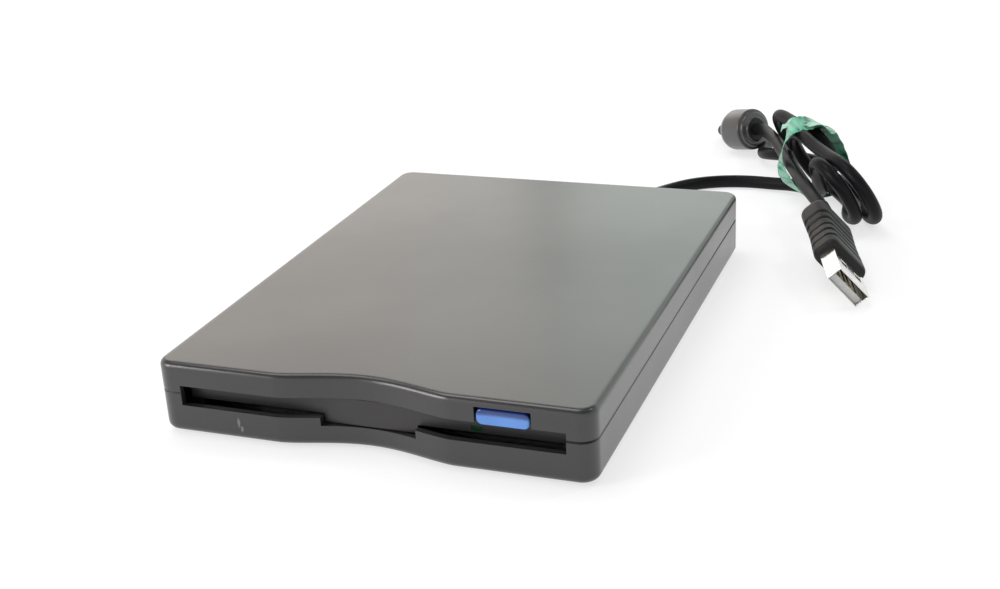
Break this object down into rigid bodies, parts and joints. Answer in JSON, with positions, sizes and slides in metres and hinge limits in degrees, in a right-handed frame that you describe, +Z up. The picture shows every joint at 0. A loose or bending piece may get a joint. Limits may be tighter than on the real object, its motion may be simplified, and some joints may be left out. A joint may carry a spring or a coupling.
{
  "type": "external floppy disk drive",
  "caption": "Slim external floppy disk drive with a wide front slot, eject button and a captive cable tied in a hank, ending in a flat metal plug.",
  "frame": {"origin": "centre of the drive body's footprint, on the surface that its feet stand on", "axes": "+X to the right of the slot seen from the front, +Y from the slot to the back where the cable leaves, +Z up"},
  "size_m": [0.1453, 0.2601, 0.0255],
  "materials": {
    "case_dark": "satin moulded plastic, fine texture",
    "case_top": "satin moulded plastic, fine texture",
    "flap_plastic": "satin moulded plastic",
    "rubber_black": "matte rubber",
    "sheet_steel": "zinc-plated sheet",
    "pin_steel": "ground steel",
    "screw_steel": "blackened steel",
    "spring_steel": "drawn wire",
    "button_blue": "satin blue plastic",
    "window_green": "tinted light guide",
    "lamp_lens": "frosted lens",
    "board_green": "solder mask",
    "chip_black": "moulded packages",
    "copper": "lacquered copper wire",
    "bronze": "sintered bronze",
    "rotor_steel": "pressed steel cup",
    "motor_can": "drawn can",
    "carriage_plastic": "moulded carriage",
    "ceramic_head": "lapped ceramic",
    "ribbon_film": "flat film cable",
    "wire_red": "insulated wires",
    "cable_black": "satin cable jacket",
    "moulded_black": "moulded over the cable",
    "tie_green": "translucent twist tie",
    "plug_steel": "nickel-plated shell",
    "tongue_white": "moulded insulator"
  },
  "bodies": {
    "case": {"bottom_cover": "case_dark", "top_cover": "case_top", "rubber_feet": "rubber_black", "case_screws": "screw_steel", "mechanism_frame": "sheet_steel", "frame_screws": "screw_steel", "mechanism_lid": "sheet_steel", "flap_spring": "spring_steel", "slide_springs": "spring_steel", "stator_board": "board_green", "stator_coils": "copper", "spindle_bearing": "bronze", "stepper_motor": "motor_can", "carriage_rod": "pin_steel", "main_board": "board_green", "main_chips": "chip_black", "bridge_board": "board_green", "bridge_chips": "chip_black", "ribbon_cable": "ribbon_film", "indicator_lamp": "lamp_lens", "cable_wires": "wire_red", "cable_gland": "moulded_black", "cord_lead": "cable_black", "cord_hank": "cable_black", "cord_tail": "cable_black", "cord_strand": "cable_black", "ferrite_bead": "moulded_black", "cord_tie": "tie_green", "plug_grip": "moulded_black", "plug_shell": "plug_steel", "plug_tongue": "tongue_white"},
    "flap": {"slot_flap": "flap_plastic", "indicator_window": "window_green"},
    "ejector": {"eject_button": "button_blue", "eject_slide": "sheet_steel"},
    "carrier": {"disk_carrier": "sheet_steel", "carrier_pins": "pin_steel", "lever_pivot": "pin_steel", "lever_spring": "spring_steel"},
    "lever": {"shutter_lever": "sheet_steel"},
    "spindle": {"spindle_shaft": "pin_steel", "rotor": "rotor_steel", "hub_plate": "rotor_steel"},
    "screw": {"lead_screw": "pin_steel"},
    "carriage": {"head_carriage": "carriage_plastic", "lower_head": "ceramic_head", "arm_pivot": "pin_steel"},
    "arm": {"upper_arm": "sheet_steel", "upper_head": "ceramic_head"}
  },
  "joints": [
    {"name": "flap_hinge", "type": "hinge", "parent": "case", "child": "flap", "pos_m": [0, -0.066, 0.0132], "axis": [1, 0, 0], "range_deg": [0, 85], "stiffness_Nm_per_rad": 0.0004, "springref_deg": -22.92},
    {"name": "eject_slide", "type": "slide", "parent": "case", "child": "ejector", "axis": [0, -1, 0], "range_m": [0, 0.0055]},
    {"name": "carrier_drop", "type": "slide", "parent": "case", "child": "carrier", "axis": [0, 0, -1], "range_m": [0, 0.002]},
    {"name": "shutter_lever_hinge", "type": "hinge", "parent": "carrier", "child": "lever", "pos_m": [0.038, 0.002, 0.013], "axis": [0, 0, 1], "range_deg": [-25, 0], "stiffness_Nm_per_rad": 0.0006, "springref_deg": 22.92},
    {"name": "spindle_spin", "type": "hinge", "parent": "case", "child": "spindle", "pos_m": [0, -0.0173, 0.005], "axis": [0, 0, 1], "continuous": true},
    {"name": "lead_screw_turn", "type": "hinge", "parent": "case", "child": "screw", "pos_m": [-0.016, 0.04, 0.009], "axis": [0, 1, 0], "range_deg": [0, 1776]},
    {"name": "carriage_slide", "type": "slide", "parent": "case", "child": "carriage", "axis": [0, -1, 0], "range_m": [0, 0.0148]},
    {"name": "upper_arm_hinge", "type": "hinge", "parent": "carriage", "child": "arm", "pos_m": [0, 0.05135, 0.0122], "axis": [1, 0, 0], "range_deg": [0, 7.5]}
  ],
  "couplings": [
    {"joint": "carrier_drop", "follows": "eject_slide", "ratio": 0.36364},
    {"joint": "upper_arm_hinge", "follows": "eject_slide", "rad_per_m": 23.8},
    {"joint": "lead_screw_turn", "follows": "carriage_slide", "rad_per_m": 2094.4}
  ]
}
